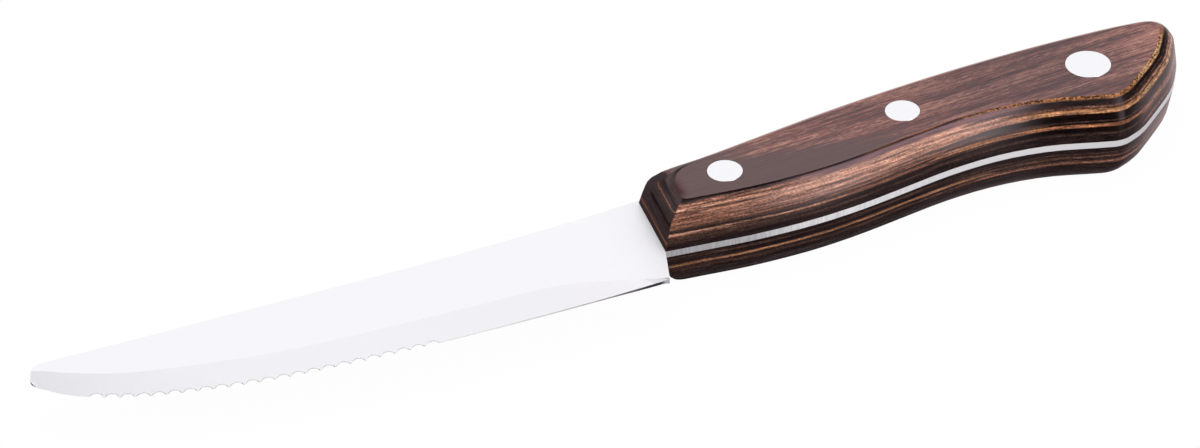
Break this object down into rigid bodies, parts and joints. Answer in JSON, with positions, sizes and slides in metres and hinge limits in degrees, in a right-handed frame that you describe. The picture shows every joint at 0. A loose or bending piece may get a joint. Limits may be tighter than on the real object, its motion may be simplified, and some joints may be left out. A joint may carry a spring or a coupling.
{
  "type": "steak knife",
  "caption": "Full-tang steak knife with a blunt-tipped, serrated blade and a curved laminated-wood handle held by flush cutlery rivets.",
  "frame": {"origin": "on the flat outer face of the right side, where the knife rests, on the axis of the middle rivet", "axes": "+X from the tip to the butt, +Y from the cutting edge to the spine, +Z from the right face up through the left face"},
  "size_m": [0.2555, 0.0344, 0.0195],
  "materials": {
    "blade_steel": "fine satin, polished flats",
    "scale_wood": "glossy, resin-filled laminate with thin light lines",
    "rivet_metal": "fine satin"
  },
  "bodies": {
    "root": {"blade": "blade_steel", "left_scale": "scale_wood", "right_scale": "scale_wood", "front_rivet_pin": "rivet_metal", "front_rivet_socket": "rivet_metal", "middle_rivet_pin": "rivet_metal", "middle_rivet_socket": "rivet_metal", "rear_rivet_pin": "rivet_metal", "rear_rivet_socket": "rivet_metal"}
  },
  "joints": []
}
